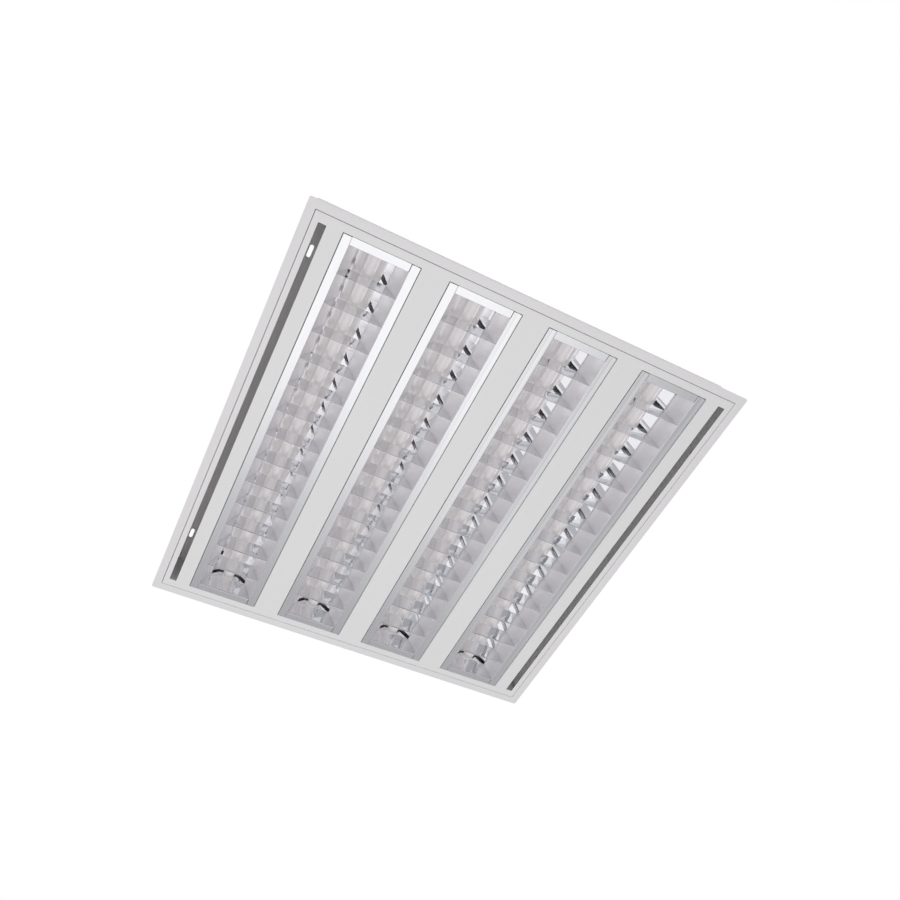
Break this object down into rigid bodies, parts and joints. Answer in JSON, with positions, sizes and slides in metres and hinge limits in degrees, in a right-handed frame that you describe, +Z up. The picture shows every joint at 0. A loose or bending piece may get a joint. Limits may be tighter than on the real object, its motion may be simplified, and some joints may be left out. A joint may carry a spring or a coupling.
{
  "type": "recessed troffer light",
  "caption": "Square recessed ceiling light: sheet-steel tray and face with hinged aluminium cross-blade louvres under straight tubes and an air slot at each side.",
  "frame": {"origin": "middle of the face, on its lower plane, which is also the lower plane of the rim", "axes": "+Z up into the ceiling, +Y along the lamps, +X across the louvre units"},
  "size_m": [0.595, 0.595, 0.0555],
  "materials": {
    "tray_paint": "satin white powder coat",
    "face_paint": "satin white powder coat",
    "duct_paint": "thin white coat in the shade of the duct",
    "reflector": "bright anodised",
    "louvre": "satin-bright anodised",
    "lamp_glass": "white inner coating",
    "lamp_cap": "brushed",
    "rotor_plastic": "moulded",
    "white_plastic": "moulded",
    "zinc_steel": "zinc plated",
    "board": "coated board",
    "brass": "bright",
    "rubber": "matt",
    "wire_cover": "smooth"
  },
  "bodies": {
    "root": {"housing": "tray_paint", "tray_walls": "tray_paint", "face_plate": "face_paint", "face_plate_screws": "zinc_steel", "duct_left": "duct_paint", "duct_right": "duct_paint", "ballast_case": "zinc_steel", "ballast_cover": "zinc_steel", "ballast_board": "board", "ballast_terminals": "white_plastic", "ballast_screws": "zinc_steel", "terminal_block": "white_plastic", "terminal_screws": "brass", "cable_grommet": "rubber", "earth_stud": "zinc_steel", "earth_nut": "brass", "mains_wires": "wire_cover", "lamp_wires": "wire_cover", "top_reflector_1": "reflector", "lampholders_1": "white_plastic", "top_reflector_2": "reflector", "lampholders_2": "white_plastic", "top_reflector_3": "reflector", "lampholders_3": "white_plastic", "top_reflector_4": "reflector", "lampholders_4": "white_plastic"},
    "louvre_1": {"louvre_sides_1": "louvre", "louvre_ends_1": "louvre", "louvre_blades_1": "louvre", "hinge_pins_1": "zinc_steel", "latch_springs_1": "zinc_steel"},
    "lamp_1": {"lamp_tube_1": "lamp_glass", "lamp_caps_1": "lamp_cap", "lamp_rotors_1": "rotor_plastic"},
    "louvre_2": {"louvre_sides_2": "louvre", "louvre_ends_2": "louvre", "louvre_blades_2": "louvre", "hinge_pins_2": "zinc_steel", "latch_springs_2": "zinc_steel"},
    "lamp_2": {"lamp_tube_2": "lamp_glass", "lamp_caps_2": "lamp_cap", "lamp_rotors_2": "rotor_plastic"},
    "louvre_3": {"louvre_sides_3": "louvre", "louvre_ends_3": "louvre", "louvre_blades_3": "louvre", "hinge_pins_3": "zinc_steel", "latch_springs_3": "zinc_steel"},
    "lamp_3": {"lamp_tube_3": "lamp_glass", "lamp_caps_3": "lamp_cap", "lamp_rotors_3": "rotor_plastic"},
    "louvre_4": {"louvre_sides_4": "louvre", "louvre_ends_4": "louvre", "louvre_blades_4": "louvre", "hinge_pins_4": "zinc_steel", "latch_springs_4": "zinc_steel"},
    "lamp_4": {"lamp_tube_4": "lamp_glass", "lamp_caps_4": "lamp_cap", "lamp_rotors_4": "rotor_plastic"}
  },
  "joints": [
    {"name": "louvre_1_hinge", "type": "hinge", "parent": "root", "child": "louvre_1", "pos_m": [-0.24025, 0, 0.0028], "axis": [0, 1, 0], "range_deg": [0, 90]},
    {"name": "lamp_1_turn", "type": "hinge", "parent": "root", "child": "lamp_1", "pos_m": [-0.20025, 0, 0.0385], "axis": [0, 1, 0], "range_deg": [0, 90]},
    {"name": "louvre_2_hinge", "type": "hinge", "parent": "root", "child": "louvre_2", "pos_m": [-0.10675, 0, 0.0028], "axis": [0, 1, 0], "range_deg": [0, 90]},
    {"name": "lamp_2_turn", "type": "hinge", "parent": "root", "child": "lamp_2", "pos_m": [-0.06675, 0, 0.0385], "axis": [0, 1, 0], "range_deg": [0, 90]},
    {"name": "louvre_3_hinge", "type": "hinge", "parent": "root", "child": "louvre_3", "pos_m": [0.02675, 0, 0.0028], "axis": [0, 1, 0], "range_deg": [0, 90]},
    {"name": "lamp_3_turn", "type": "hinge", "parent": "root", "child": "lamp_3", "pos_m": [0.06675, 0, 0.0385], "axis": [0, 1, 0], "range_deg": [0, 90]},
    {"name": "louvre_4_hinge", "type": "hinge", "parent": "root", "child": "louvre_4", "pos_m": [0.16025, 0, 0.0028], "axis": [0, 1, 0], "range_deg": [0, 90]},
    {"name": "lamp_4_turn", "type": "hinge", "parent": "root", "child": "lamp_4", "pos_m": [0.20025, 0, 0.0385], "axis": [0, 1, 0], "range_deg": [0, 90]}
  ]
}
